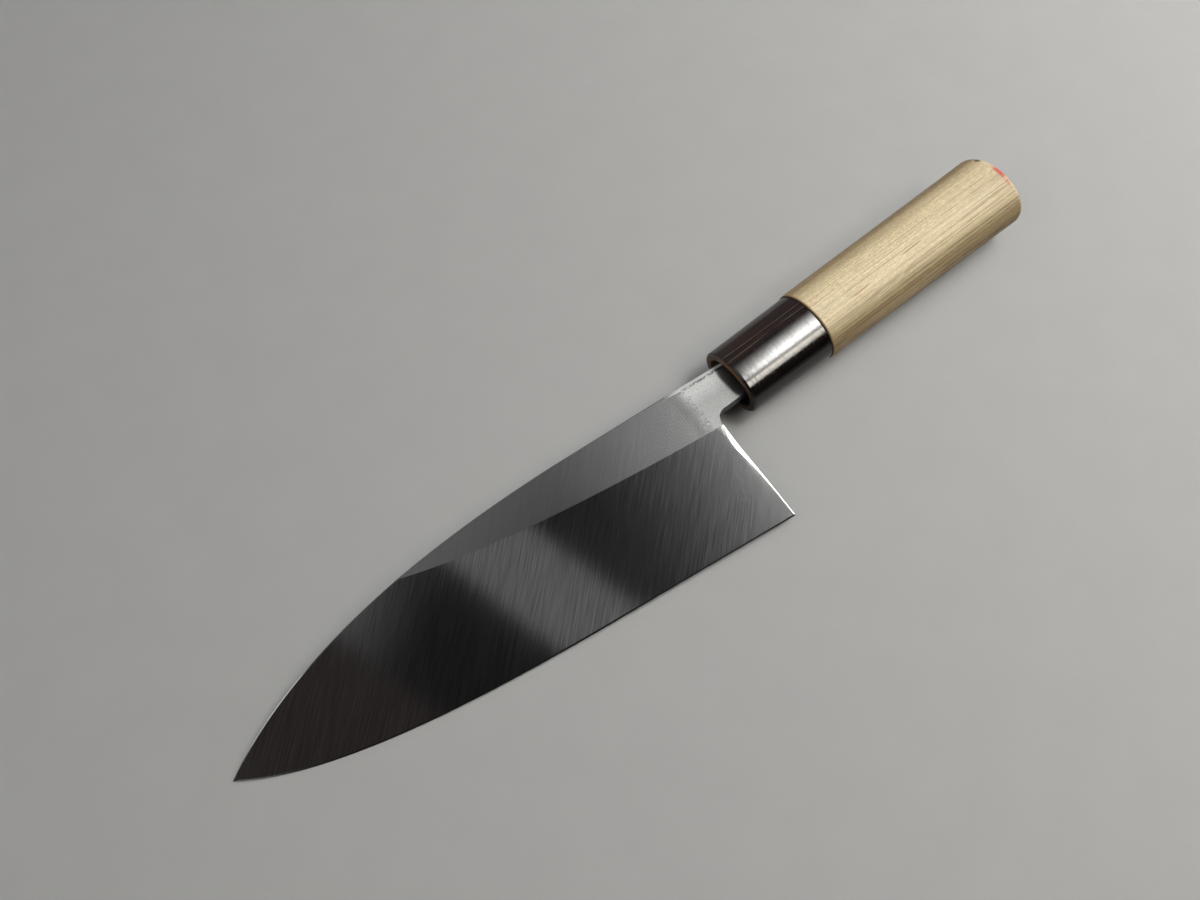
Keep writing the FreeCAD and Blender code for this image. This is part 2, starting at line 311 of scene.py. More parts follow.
class BladeShape:
    """The blade's curves and surfaces over its plan"""

    # Largest share of the thickness or width beside it that a facet may take near the tip
    FACET_LIMIT = 0.3

    def __init__(self, lay, blade):
        self.sizes = blade
        self.mouth_x = -lay.ferrule_length
        self.choil_x = self.mouth_x - blade.choil_distance
        self.neck_x = self.choil_x + blade.machi_radius
        self.tang_root_x = self.mouth_x + blade.tang_root_depth
        self.tang_end_x = self.mouth_x + blade.tang_length
        self.back_z = -blade.back_drop
        self.machi_y = -blade.neck_drop - blade.machi_radius
        self.tip = Vector((self.mouth_x - blade.tip_reach, -blade.tip_drop))
        self.spine_root = Vector((self.mouth_x, blade.spine_root_rise))
        self.heel = Vector((self.choil_x, -blade.heel_drop))
        self.spine_dir = Vector((-math.cos(blade.spine_angle), math.sin(blade.spine_angle)))
        self.edge_dir = Vector((-math.cos(blade.edge_angle), math.sin(blade.edge_angle)))
        spine_end = Vector((-math.cos(blade.spine_tip_angle), -math.sin(blade.spine_tip_angle)))
        edge_end = Vector((-math.cos(blade.edge_tip_angle), math.sin(blade.edge_tip_angle)))
        self.spine_bend = self.spine_root + self.spine_dir * blade.spine_straight
        self.edge_bend = self.heel + self.edge_dir * blade.edge_straight
        self.spine_poles = (self.spine_bend, self.spine_bend + self.spine_dir * blade.spine_belly_pull,
                            self.tip - spine_end * blade.spine_tip_pull, self.tip)
        self.edge_poles = (self.edge_bend, self.edge_bend + self.edge_dir * blade.edge_belly_pull,
                           self.tip - edge_end * blade.edge_tip_pull, self.tip)
        self.edge_run = self.measure_edge()
        self.face_end_x = crossing(lambda x: self.bevel_z(x, self.spine_y(x) - blade.spine_chamfer)
                                   - self.front_z(x), self.tip.x, self.spine_bend.x)

    def measure_edge(self):
        """Lengths along the curved edge at even steps of its parameter"""
        points = [bezier(self.edge_poles, step / EDGE_STEPS) for step in range(EDGE_STEPS + 1)]
        run = [0.0]
        for before, after in zip(points, points[1:]):
            run.append(run[-1] + (after - before).length)
        return run

    def spine_y(self, x):
        if x >= self.spine_bend.x:
            return self.spine_root.y + (x - self.spine_root.x) * self.spine_dir.y / self.spine_dir.x
        return bezier(self.spine_poles, crossing(lambda t: bezier(self.spine_poles, t).x - x, 0.0, 1.0)).y

    def edge_y(self, x):
        if x >= self.edge_bend.x:
            return self.heel.y + (x - self.heel.x) * self.edge_dir.y / self.edge_dir.x
        return bezier(self.edge_poles, crossing(lambda t: bezier(self.edge_poles, t).x - x, 0.0, 1.0)).y

    def front_z(self, x):
        """Front face: level over the neck, falling to the tip and thinning along the tang"""
        front = self.back_z + self.sizes.thickness
        if x > self.tang_root_x:
            share = (x - self.tang_root_x) / (self.tang_end_x - self.tang_root_x)
            return along(front, self.sizes.tang_end_thickness / 2, share)
        return front + min(0.0, x - self.choil_x) * math.tan(self.sizes.front_taper)

    def bevel_z(self, x, y):
        """Bevel over a point of the plan, by its distance from the edge"""
        point = Vector((x, y))
        done = (point - self.heel).dot(self.edge_dir)
        foot = self.heel + self.edge_dir * done
        full = self.sizes.edge_straight + self.edge_run[-1]
        if done > self.sizes.edge_straight:
            poles = self.edge_poles
            t = crossing(lambda t: (point - bezier(poles, t)).dot(bezier_slope(poles, t)), 0.0, 1.0)
            foot = bezier(poles, t)
            before = min(int(t * EDGE_STEPS), EDGE_STEPS - 1)
            done = self.sizes.edge_straight + along(self.edge_run[before], self.edge_run[before + 1],
                                                    t * EDGE_STEPS - before)
        fallen = min(max(done / full, 0.0), 1.0) ** self.sizes.bevel_fall
        slope = math.tan(along(self.sizes.bevel_heel, self.sizes.bevel_tip, fallen))
        return self.back_z + self.sizes.edge_land + (point - foot).length * slope

    def back_height(self, x, y):
        """Flat back with its shallow hollow, and the neck and tang that thin from the machi on"""
        if x > self.neck_x:
            share = (x - self.neck_x) / (self.tang_end_x - self.neck_x)
            return along(self.back_z, -self.sizes.tang_end_thickness / 2, share)
        offset = Vector((x - self.choil_x + self.sizes.hollow_from_heel, y + self.sizes.hollow_drop))
        offset.rotate(Matrix.Rotation(self.sizes.hollow_angle, 2))
        reach_x = 2 * offset.x / self.sizes.hollow_length
        reach_y = 2 * offset.y / self.sizes.hollow_height
        return self.back_z + self.sizes.hollow_depth * max(0.0, 1.0 - reach_x ** 2 - reach_y ** 2)

    def chamfer_at(self, x):
        """Width of the facet on the spine, which widens to the neck and narrows to the tip"""
        top = min(self.front_z(x), self.bevel_z(x, self.spine_y(x)))
        widened = min(max((x - self.choil_x) / self.sizes.neck_run + 1.0, 0.0), 1.0)
        width = along(self.sizes.spine_chamfer, self.sizes.neck_chamfer, widened)
        return min(width, self.FACET_LIMIT * (top - self.back_z))

    def chamfer_fall(self, x):
        return self.chamfer_at(x) * math.tan(self.sizes.spine_fall)

    def shinogi_y(self, x):
        """Line where bevel and front face meet, or the spine's facet where the bevel runs out to it"""
        top = self.spine_y(x) - self.chamfer_at(x)
        if x <= self.face_end_x:
            return top
        return crossing(lambda y: self.bevel_z(x, y) - self.front_z(x), self.edge_y(x), top)

    def koba_y(self, x):
        """Line where the bevel turns down to the edge"""
        edge = self.edge_y(x)
        return edge + min(self.sizes.koba, self.FACET_LIMIT * (self.shinogi_y(x) - edge))

    def facet_width(self, y):
        """Share of the rounding on the choil: full a fifth of the way down, then thinning to the heel"""
        widest_at = 0.21
        grown_at = 0.4
        least = 0.13
        peak = 3.0
        down = max(0.0, (self.machi_y - y) / (self.machi_y - self.heel.y)) / widest_at
        grown = min(1.0, down / grown_at)
        return grown * along(least, 1.0, (down * math.exp(1.0 - down)) ** peak)


def sheet(bm, columns, rows, point):
    """Grid of faces whose corners are placed by column and row number"""
    made = bmesh.ops.create_grid(bm, x_segments=columns, y_segments=rows, size=0.5)["verts"]
    spots = {}
    for vertex in made:
        spot = (round((vertex.co.x + 0.5) * columns), round((vertex.co.y + 0.5) * rows))
        spots[spot] = vertex
    for spot, vertex in spots.items():
        vertex.co = point(*spot)
    return spots


def row_faces(spots, low, high):
    """Faces of a sheet that lie between two of its rows"""
    corners = {vertex for spot, vertex in spots.items() if low <= spot[1] <= high}
    faces = {face for vertex in corners for face in vertex.link_faces}
    return [face for face in faces if all(vertex in corners for vertex in face.verts)]


def make_blade_mesh(lay, blade):
    """One closed mesh of blade, neck and tang, in the knife's own axes"""
    shape = BladeShape(lay, blade)
    bm = bmesh.new()
    shinogi = blade.bevel_rows
    chamfer = shinogi + blade.face_rows
    top_row = chamfer + 1
    last_column = blade.face_columns + blade.tip_columns
    machi_share = ((shape.machi_y - shape.shinogi_y(shape.choil_x))
                   / (shape.spine_y(shape.choil_x) - blade.neck_chamfer - shape.shinogi_y(shape.choil_x)))
    machi_row = shinogi + 1
    tip_crowding = 1.2
    merge_within = 0.001 * MM

    def column_x(column):
        if column <= blade.face_columns:
            return along(shape.choil_x, shape.face_end_x, column / blade.face_columns)
        left = 1.0 - (column - blade.face_columns) / blade.tip_columns
        return along(shape.tip.x, shape.face_end_x, left ** tip_crowding)

    def face_share(row):
        """Rows of the front face: the first ends at the machi, the others are even"""
        if row <= machi_row:
            return machi_share * (row - shinogi)
        return along(machi_share, 1.0, (row - machi_row) / (chamfer - machi_row))

    def front_y(x, row):
        if row == 0:
            return shape.edge_y(x)
        if row <= shinogi:
            return along(shape.koba_y(x), shape.shinogi_y(x), (row - 1) / (shinogi - 1))
        if row <= chamfer:
            return along(shape.shinogi_y(x), shape.spine_y(x) - shape.chamfer_at(x), face_share(row))
        return shape.spine_y(x)

    def front_point(x, row):
        y = front_y(x, min(row, chamfer))
        z = min(shape.front_z(x), shape.bevel_z(x, y))
        if row == 0:
            z = shape.back_z + blade.koba_land
        if row == top_row:
            return Vector((x, shape.spine_y(x), z - shape.chamfer_fall(x)))
        return Vector((x, y, z))

    def blade_point(column, row):
        if column == last_column:
            return Vector((shape.tip.x, shape.tip.y, shape.back_z + blade.edge_land))
        if row > shinogi or column > blade.facet_columns + 1:
            return front_point(column_x(column), row)
        width = shape.facet_width(front_y(shape.choil_x, row))
        if column > blade.facet_columns:
            return front_point(shape.choil_x - blade.choil_facet * width - blade.facet_support, row)
        inset = column / blade.facet_columns
        spot = front_point(shape.choil_x - blade.choil_facet * width * inset, row)
        spot.z -= blade.choil_facet_depth * width * (1.0 - inset) ** 2
        return spot

    neck_last = blade.neck_columns + blade.tang_columns

    def neck_x(column):
        if column <= blade.neck_columns:
            turn = math.pi / 2 * column / blade.neck_columns
            return shape.neck_x - blade.machi_radius * math.cos(turn)
        return along(shape.neck_x, shape.tang_end_x, (column - blade.neck_columns) / blade.tang_columns)

    def neck_low(x):
        if x < shape.neck_x:
            reach = shape.neck_x - x
            return shape.machi_y + math.sqrt(max(0.0, blade.machi_radius ** 2 - reach ** 2))
        share = max(0.0, (x - shape.tang_root_x) / (shape.tang_end_x - shape.tang_root_x))
        return along(-blade.neck_drop, -blade.tang_end_drop, share)

    def neck_high(x):
        share = max(0.0, (x - shape.tang_root_x) / (shape.tang_end_x - shape.tang_root_x))
        return along(shape.spine_y(min(x, shape.tang_root_x)), blade.tang_end_rise, share)

    def neck_point(column, row):
        if column == 0:
            return blade_point(0, row + machi_row)
        x = neck_x(column)
        front = shape.front_z(x)
        if row + machi_row == top_row:
            return Vector((x, neck_high(x), front - shape.chamfer_fall(x)))
        share = row / (chamfer - machi_row)
        return Vector((x, along(neck_low(x), neck_high(x) - shape.chamfer_at(x), share), front))

    blade_spots = sheet(bm, last_column, top_row, blade_point)
    neck_spots = sheet(bm, neck_last, top_row - machi_row, neck_point)
    for face in row_faces(blade_spots, 0, shinogi):
        face.material_index = 1
    for column in range(last_column):
        bm.edges.get((blade_spots[column, shinogi], blade_spots[column + 1, shinogi])).smooth = False
    eased = [neck_spots[column, 0].co.copy() for column in range(neck_last + 1)]
    bmesh.ops.remove_doubles(bm, verts=bm.verts[:], dist=merge_within)
    made = bmesh.ops.extrude_face_region(bm, geom=bm.faces[:])["geom"]
    for vertex in (item for item in made if isinstance(item, bmesh.types.BMVert)):
        vertex.co.z = shape.back_height(vertex.co.x, vertex.co.y)
    bmesh.ops.recalc_face_normals(bm, faces=bm.faces[:])
    ease_machi(bm, eased, blade.machi_chamfer)
    finish_edges(bm)
    return bm


def ease_machi(bm, corners, width):
    """Takes the sharp front corner off the machi and the underside of the neck"""
    near = 0.01 * MM
    on_line = {vertex for vertex in bm.verts
               if any((vertex.co - corner).length < near for corner in corners)}
    edges = [edge for edge in bm.edges if on_line.issuperset(edge.verts)]
    bmesh.ops.bevel(bm, geom=edges, offset=width, offset_type="OFFSET", segments=2, profile=0.5,
                    affect="EDGES", material=-1, clamp_overlap=True)


def finish_edges(bm):
    """Smooth surfaces between crisp corners; the back takes the satin finish"""
    crisp = math.radians(20.0)
    facing_up = 0.5
    bm.normal_update()
    for edge in bm.edges:
        if len(edge.link_faces) == 2 and edge.calc_face_angle() > crisp:
            edge.smooth = False
    for face in bm.faces:
        face.smooth = True
        if face.normal.z < facing_up:
            face.material_index = 0


def map_grind(bm, grind_angle):
    """UV map whose U runs across the grinding lines, in millimetres"""
    across = Vector((-math.sin(grind_angle), math.cos(grind_angle), 0.0))
    lines = Vector((math.cos(grind_angle), math.sin(grind_angle), 0.0))
    layer = bm.loops.layers.uv.new("grind")
    for face in bm.faces:
        for loop in face.loops:
            loop[layer].uv = (loop.vert.co.dot(across) / MM, loop.vert.co.dot(lines) / MM)


# Node helpers

# Range in which nearly all values of a noise lie
NOISE_LOW = 0.3
NOISE_HIGH = 0.7


def add_node(tree, kind, **settings):
    node = tree.nodes.new(kind)
    for key, value in settings.items():
        setattr(node, key, value)
    return node


def new_tree(owner):
    """Empty node tree of a new material or world"""
    owner.use_nodes = True
    owner.node_tree.nodes.clear()
    return owner.node_tree


def new_material(name):
    """Material with one principled shader, returned with its node tree and shader"""
    material = bpy.data.materials.new(name)
    tree = new_tree(material)
    shader = add_node(tree, "ShaderNodeBsdfPrincipled")
    output = add_node(tree, "ShaderNodeOutputMaterial")
    tree.links.new(shader.outputs["BSDF"], output.inputs["Surface"])
    return material, tree, shader


def knife_coordinates(tree, axes):
    """Position in the knife's own axes, in millimetres"""
    position = add_node(tree, "ShaderNodeTexCoord")
    mapping = add_node(tree, "ShaderNodeMapping", vector_type="TEXTURE")
    mapping.inputs["Location"].default_value = axes.to_translation()
    mapping.inputs["Rotation"].default_value = axes.to_euler()
    mapping.inputs["Scale"].default_value = (MM, MM, MM)
    tree.links.new(position.outputs["Object"], mapping.inputs["Vector"])
    return mapping.outputs["Vector"]


def turned(tree, vector, turn, scale):
    """Coordinates turned about Z by minus the given angle and then scaled"""
    rotate = add_node(tree, "ShaderNodeMapping", vector_type="POINT")
    rotate.inputs["Rotation"].default_value = (0.0, 0.0, -turn)
    tree.links.new(vector, rotate.inputs["Vector"])
    stretch = add_node(tree, "ShaderNodeMapping", vector_type="POINT")
    stretch.inputs["Scale"].default_value = scale
    tree.links.new(rotate.outputs["Vector"], stretch.inputs["Vector"])
    return stretch.outputs["Vector"]


def noise(tree, vector, cells, detail, roughness=0.5, distortion=0.0, turn=0.0):
    """Noise with so many cells per unit along each axis, the axes turned about Z by the given angle"""
    node = add_node(tree, "ShaderNodeTexNoise")
    node.inputs["Scale"].default_value = 1.0
    node.inputs["Detail"].default_value = detail
    node.inputs["Roughness"].default_value = roughness
    node.inputs["Distortion"].default_value = distortion
    tree.links.new(turned(tree, vector, turn, cells), node.inputs["Vector"])
    return node.outputs["Fac"]


def fit(tree, value, low, high, start=0.0, end=1.0, smooth=False):
    """Value taken from one range to another, held at the ends"""
    node = add_node(tree, "ShaderNodeMapRange", interpolation_type="SMOOTHSTEP" if smooth else "LINEAR")
    node.inputs["From Min"].default_value = low
    node.inputs["From Max"].default_value = high
    node.inputs["To Min"].default_value = start
    node.inputs["To Max"].default_value = end
    tree.links.new(value, node.inputs["Value"])
    return node.outputs["Result"]


def spread(tree, value, start, end):
    """Noise taken from its usual range to another"""
    return fit(tree, value, NOISE_LOW, NOISE_HIGH, start, end)


def math_node(tree, operation, first, second=0.0):
    """Sum, product or the like of two sockets or numbers"""
    node = add_node(tree, "ShaderNodeMath", operation=operation)
    for socket, value in zip(node.inputs, (first, second)):
        if isinstance(value, (int, float)):
            socket.default_value = value
        else:
            tree.links.new(value, socket)
    return node.outputs["Value"]


def total(tree, first, second):
    return math_node(tree, "ADD", first, second)


def product(tree, first, *others):
    for other in others:
        first = math_node(tree, "MULTIPLY", first, other)
    return first


def weighed(tree, first, second, share):
    """Sum of two values in which the first counts for the given share and the second for the rest"""
    return total(tree, product(tree, first, share), product(tree, second, 1.0 - share))


def away_from(tree, value, spot):
    """How far a value lies to either side of a number"""
    return math_node(tree, "ABSOLUTE", math_node(tree, "SUBTRACT", value, spot))


def mix_colour(tree, factor, first, second, blend="MIX"):
    """Mix of two colours or colour sockets"""
    node = add_node(tree, "ShaderNodeMix", data_type="RGBA", blend_type=blend)
    tree.links.new(factor, node.inputs["Factor"])
    for name, value in (("A_Color", first), ("B_Color", second)):
        socket = next(item for item in node.inputs if item.identifier == name)
        if isinstance(value, bpy.types.NodeSocket):
            tree.links.new(value, socket)
        else:
            socket.default_value = (*value, 1.0)
    return next(item for item in node.outputs if item.identifier == "Result_Color")


def split(tree, vector):
    node = add_node(tree, "ShaderNodeSeparateXYZ")
    tree.links.new(vector, node.inputs["Vector"])
    return node.outputs["X"], node.outputs["Y"], node.outputs["Z"]


def bump(tree, shader, height, depth):
    node = add_node(tree, "ShaderNodeBump")
    node.inputs["Strength"].default_value = 1.0
    node.inputs["Distance"].default_value = depth
    tree.links.new(height, node.inputs["Height"])
    tree.links.new(node.outputs["Normal"], shader.inputs["Normal"])


def shade(rgb, factor):
    return tuple(min(1.0, part * factor) for part in rgb)


# Materials: places are in millimetres in the knife's own axes, noise cells are counted per millimetre

def steel_material(name, scene, axes, roughness, line_share, pit_share):
    """Ground steel with fine lines in one direction; with pits it turns to forged skin over the neck,
    which carries a painted shade towards the edge side
    """
    steel = scene.deba_steel
    blade = scene.deba_blade
    mouth = -scene.deba_lay.ferrule_length / MM
    choil = mouth - blade.choil_distance / MM
    heel = -blade.heel_drop / MM
    start = steel.neck_start / MM
    spine_rise = math.tan(blade.spine_angle)
    corner = (blade.spine_root_rise - blade.neck_chamfer) / MM + mouth * spine_rise
    material, tree, shader = new_material(name)
    knife = knife_coordinates(tree, axes)
    along_x, across_y, _ = split(tree, knife)
    over_neck = total(tree, across_y, product(tree, along_x, spine_rise))

    broad = noise(tree, knife, cells=(0.05, 0.9, 0.2), detail=1.0, turn=steel.grind_angle)
    fine = noise(tree, knife, cells=(0.08, 3.4, 0.2), detail=1.0, turn=steel.grind_angle)
    lines = weighed(tree, broad, fine, steel.broad_share)
    faded = fit(tree, along_x, choil - 28.5, choil - 8.5, 1.0, steel.heel_lines)
    swing = product(tree, spread(tree, lines, -0.5, 0.5), faded)
    line_tone = steel.line_tone * line_share
    tone = mix_colour(tree, total(tree, swing, 0.5), shade(steel.base, 1.0 - line_tone),
                      shade(steel.base, 1.0 + line_tone))

    forged = fit(tree, along_x, steel.scale_start / MM, steel.scale_full / MM, 0.0, pit_share, smooth=True)
    pits = noise(tree, knife, cells=(1.3, 1.3, 1.3), detail=2.0)
    open_air = fit(tree, along_x, mouth - 0.2, mouth - 2.2)
    speckle = product(tree, fit(tree, pits, 0.56, 0.38), forged, open_air, steel.pit_tone)
    tone = mix_colour(tree, speckle, tone, shade(steel.base, 0.4))
    # Painted shade: the neck is darkened towards the edge side, less so near the spine, standing in for
    # how light falls on it
    painted_neck_shade = product(tree, fit(tree, over_neck, -4.5, 0.5, 0.64, 0.40),
                     fit(tree, along_x, start + 4.5, start + 10.5, 0.0, pit_share))
    tone = mix_colour(tree, painted_neck_shade, tone, shade(steel.base, 0.1))
    facet = product(tree, fit(tree, over_neck, corner - 0.05, corner + 0.15),
                    fit(tree, along_x, start + 3.0, start + 9.0, 0.0, pit_share))
    tone = mix_colour(tree, facet, tone, steel.dull)
    beside_facet = fit(tree, away_from(tree, over_neck, corner - 0.3), 0.6, 0.2)
    flakes = total(tree, noise(tree, knife, cells=(1.6, 1.6, 1.6), detail=1.0),
                   fit(tree, along_x, start, mouth - 0.2, 0.0, 0.12))
    scabs = product(tree, forged, beside_facet, fit(tree, flakes, 0.56, 0.61, 0.0, steel.scab_tone))
    tone = mix_colour(tree, scabs, tone, shade(steel.base, 0.06))
    tree.links.new(tone, shader.inputs["Base Color"])

    cloud = noise(tree, knife, cells=(0.05, 0.05, 0.05), detail=3.0)
    gloss = spread(tree, weighed(tree, lines, cloud, 0.5), roughness * 0.95, roughness * 1.05)
    worn = product(tree, fit(tree, along_x, choil - 2.5, choil, 0.0, steel.heel_wear * (1.0 - pit_share)),
                   fit(tree, across_y, heel + 8.1, heel + 26.1))
    grainy = fit(tree, pits, 0.35, 0.65, 0.7 * steel.scale_roughness, 1.3 * steel.scale_roughness)
    rough = total(tree, total(tree, gloss, worn), product(tree, forged, grainy))
    tree.links.new(rough, shader.inputs["Roughness"])

    pit_height = product(tree, pits, forged, steel.scale_depth / steel.line_depth)
    bump(tree, shader, total(tree, product(tree, lines, line_share), pit_height), steel.line_depth)
    shader.inputs["Metallic"].default_value = 1.0
    if pit_share > 0.0:
        tree.links.new(fit(tree, facet, 0.0, 1.0, 1.0, steel.dull_metal), shader.inputs["Metallic"])
    shader.inputs["Anisotropic"].default_value = steel.stretch
    tangent = add_node(tree, "ShaderNodeTangent", direction_type="UV_MAP", uv_map="grind")
    tree.links.new(tangent.outputs["Tangent"], shader.inputs["Tangent"])
    return material


def oval(tree, across, up, width, thickness):
    """One on an oval of the given size round the handle's axis, less inside it"""
    reach_y = math_node(tree, "POWER", math_node(tree, "DIVIDE", across, width / 2), 2.0)
    reach_z = math_node(tree, "POWER", math_node(tree, "DIVIDE", up, thickness / 2), 2.0)
    return total(tree, reach_y, reach_z)


def horn_material(horn, lay, axes):
    """Polished dark horn with brown streaks, bare and brown at the mouth and in the bore, with painted
    shade on the mouth's edge side and in the lower bore
    """
    material, tree, shader = new_material("polished_horn")
    knife = knife_coordinates(tree, axes)
    along_x, across_y, up_z = split(tree, knife)

    streaks = noise(tree, knife, cells=(0.02, 0.8, 0.8), detail=4.0, roughness=0.6, distortion=0.3)
    spine_side = fit(tree, across_y, -3.0, 4.0, 0.15, 1.0)
    streaked = product(tree, fit(tree, streaks, 0.36, 0.66, smooth=True), spine_side)
    body = mix_colour(tree, streaked, horn.dark, horn.brown)
    wander = total(tree, across_y, spread(tree, streaks, -0.5, 0.5))
    for line_y in (horn.first_line / MM, horn.second_line / MM):
        on_line = fit(tree, away_from(tree, wander, line_y), 0.22, 0.05, 0.0, 0.7)
        body = mix_colour(tree, product(tree, on_line, fit(tree, up_z, 2.0, 5.0)), body, horn.line)

    mouth = -lay.ferrule_length / MM
    cut_depth = horn.cut_depth / MM
    size = oval(tree, across_y, up_z, lay.mouth_width / MM, lay.mouth_thickness / MM)
    front = fit(tree, along_x, mouth + cut_depth, mouth + 0.5 * cut_depth)
    face = product(tree, front, fit(tree, size, 0.92, 0.84))
    bore = fit(tree, size, 0.68, 0.66)
    bare = math_node(tree, "MAXIMUM", face, bore)
    grain = noise(tree, knife, cells=(0.4, 1.6, 1.6), detail=4.0, roughness=0.6)
    deep_cut = shade(horn.cut, 0.3)
    cut = mix_colour(tree, fit(tree, size, 0.86, 0.68), deep_cut, horn.cut)
    cut = mix_colour(tree, spread(tree, grain, 0.5, 0.0), cut, deep_cut)
    cut = mix_colour(tree, fit(tree, across_y, 5.0, 8.0), cut, horn.ochre)
    # Painted shade: the mouth's face turns near-black towards the edge side, where it lies in shadow
    cut = mix_colour(tree, fit(tree, across_y, -6.5, -10.5), cut, horn.dark)
    # Painted shade: the bore below the neck is turned near-black, where it lies in shadow
    painted_bore_shade = product(tree, bore, fit(tree, across_y, -3.5, -6.0))
    cut = mix_colour(tree, painted_bore_shade, cut, horn.dark)
    tree.links.new(mix_colour(tree, bare, body, cut), shader.inputs["Base Color"])

    polish = noise(tree, knife, cells=(1.5, 0.16, 0.16), detail=2.0)
    gloss = spread(tree, polish, horn.roughness * 0.6, horn.roughness * 1.4)
    rough = total(tree, gloss, product(tree, bare, horn.cut_roughness))
    tree.links.new(rough, shader.inputs["Roughness"])
    bump(tree, shader, total(tree, polish, product(tree, grain, bare)), horn.polish_depth)
    shader.inputs["IOR"].default_value = horn.refraction
    return material


def mark_strands(tree, tone, wood, along_x, across_y, breaks):
    """Two reddish strands of the grain, each over its own stretch of the grip"""
    wander = total(tree, across_y, spread(tree, breaks, -0.12, 0.12))
    strands = ((wood.near_strand / MM, 13.0, 24.0), (wood.far_strand / MM, 38.0, 50.0))
    run_out = 3.0
    for strand_y, first_x, last_x in strands:
        stretch = product(tree, fit(tree, along_x, first_x, first_x + run_out),
                          fit(tree, along_x, last_x, last_x - run_out))
        on_line = fit(tree, away_from(tree, wander, strand_y), 0.32, 0.12, 0.0, 0.8)
        tone = mix_colour(tree, product(tree, on_line, stretch), tone, wood.strand)
    return tone


def mark_butt(tree, tone, wood, knife, end):
    """Faint red stain on the butt's upper corner and a small dark spot beside it"""
    along_x, across_y, up_z = split(tree, knife)
    corner = fit(tree, along_x, end - 3.4, end - 2.0, smooth=True)
    reach = product(tree, fit(tree, across_y, 5.6, 1.5, smooth=True),
                    fit(tree, across_y, -8.0, -1.5, smooth=True))
    dabs = noise(tree, knife, cells=(0.3, 0.24, 0.2), detail=1.0)
    stain = product(tree, corner, reach, fit(tree, up_z, 6.0, 9.0), fit(tree, dabs, 0.30, 0.58, 0.0, 0.9))
    tone = mix_colour(tree, stain, tone, wood.stain)
    spot_y = math_node(tree, "POWER", math_node(tree, "SUBTRACT", across_y, 9.5), 2.0)
    spot_x = math_node(tree, "POWER", math_node(tree, "SUBTRACT", along_x, end - 2.0), 2.0)
    spot = product(tree, fit(tree, total(tree, spot_x, spot_y), 1.5, 0.3, 0.0, 0.85),
                   fit(tree, up_z, 3.0, 6.0))
    return mix_colour(tree, spot, tone, shade(wood.rim, 0.2))


def wood_material(wood, lay, axes):
    """Pale straight-grained wood: grain lines, silky flecks, few strands and a faint red stain, with
    painted shade on the flanks, towards the butt and in the seam at the horn
    """
    material, tree, shader = new_material("pale_wood")
    knife = knife_coordinates(tree, axes)
    along_x, across_y, up_z = split(tree, knife)
    rings = noise(tree, knife, cells=(0.006, 1.3, 0.3), detail=3.0, roughness=0.6)
    fibres = noise(tree, knife, cells=(0.03, 3.6, 2.4), detail=3.0, roughness=0.6)
    silk = noise(tree, knife, cells=(0.45, 2.2, 1.6), detail=2.0)
    cloud = noise(tree, knife, cells=(0.03, 0.09, 0.09), detail=2.0)
    breaks = noise(tree, knife, cells=(0.16, 0.8, 0.8), detail=2.0)
    flecks = noise(tree, knife, cells=(0.9, 2.2, 1.5), detail=1.0)
    seams = noise(tree, knife, cells=(0.003, 1.7, 0.35), detail=1.0)

    grain = weighed(tree, rings, fibres, wood.ring_share)
    tone = mix_colour(tree, fit(tree, grain, 0.60, 0.32), wood.pale, wood.deep)
    tone = mix_colour(tree, fit(tree, cloud, 0.35, 0.65, 0.0, 0.3), tone, shade(wood.pale, 1.1))
    tone = mix_colour(tree, fit(tree, silk, 0.5, 0.72, 0.0, 0.5), tone, shade(wood.pale, 1.2))
    spine_side = fit(tree, across_y, -9.0, 3.0, 0.35, 1.0)
    dark_flecks = product(tree, fit(tree, flecks, 0.46, 0.32, 0.0, 0.45), spine_side)
    tone = mix_colour(tree, dark_flecks, tone, wood.deep)
    light_flecks = product(tree, fit(tree, flecks, 0.54, 0.68, 0.0, 0.5), spine_side)
    tone = mix_colour(tree, light_flecks, tone, shade(wood.pale, 1.25))
    fine_lines = product(tree, fit(tree, away_from(tree, seams, 0.5), 0.06, 0.015),
                         fit(tree, breaks, 0.3, 0.5, 0.25, 1.0), fit(tree, across_y, 9.0, -3.0, 0.4, 0.75))
    tone = mix_colour(tree, fine_lines, tone, shade(wood.deep, 0.62))
    tone = mark_strands(tree, tone, wood, along_x, across_y, breaks)

    # Painted shade: the flanks below the top, and the rear towards the butt, are darkened by the painted
    # shade tint
    painted_flank_shade = fit(tree, up_z, 9.6, 5.6, smooth=True)
    tone = mix_colour(tree, painted_flank_shade, tone, wood.painted_shade_tint, "MULTIPLY")
    painted_rear_shade = fit(tree, along_x, 40.0, 80.0, 0.0, 0.2)
    tone = mix_colour(tree, painted_rear_shade, tone, wood.painted_shade_tint, "MULTIPLY")
    tone = mix_colour(tree, fit(tree, along_x, 0.9, 0.45), tone, wood.rim)
    # Painted shadow: a near-black line at the front of the wood, in the gap where it meets the horn
    tone = mix_colour(tree, fit(tree, along_x, 0.35, 0.1), tone, shade(wood.rim, 0.15))
    tone = mark_butt(tree, tone, wood, knife, lay.grip_length / MM)
    tree.links.new(tone, shader.inputs["Base Color"])

    gloss = spread(tree, silk, wood.roughness * 1.15, wood.roughness * 0.75)
    tree.links.new(gloss, shader.inputs["Roughness"])
    bump(tree, shader, total(tree, grain, product(tree, silk, 0.8)), wood.grain_depth)
    shader.inputs["Specular IOR Level"].default_value = wood.shine
    return material


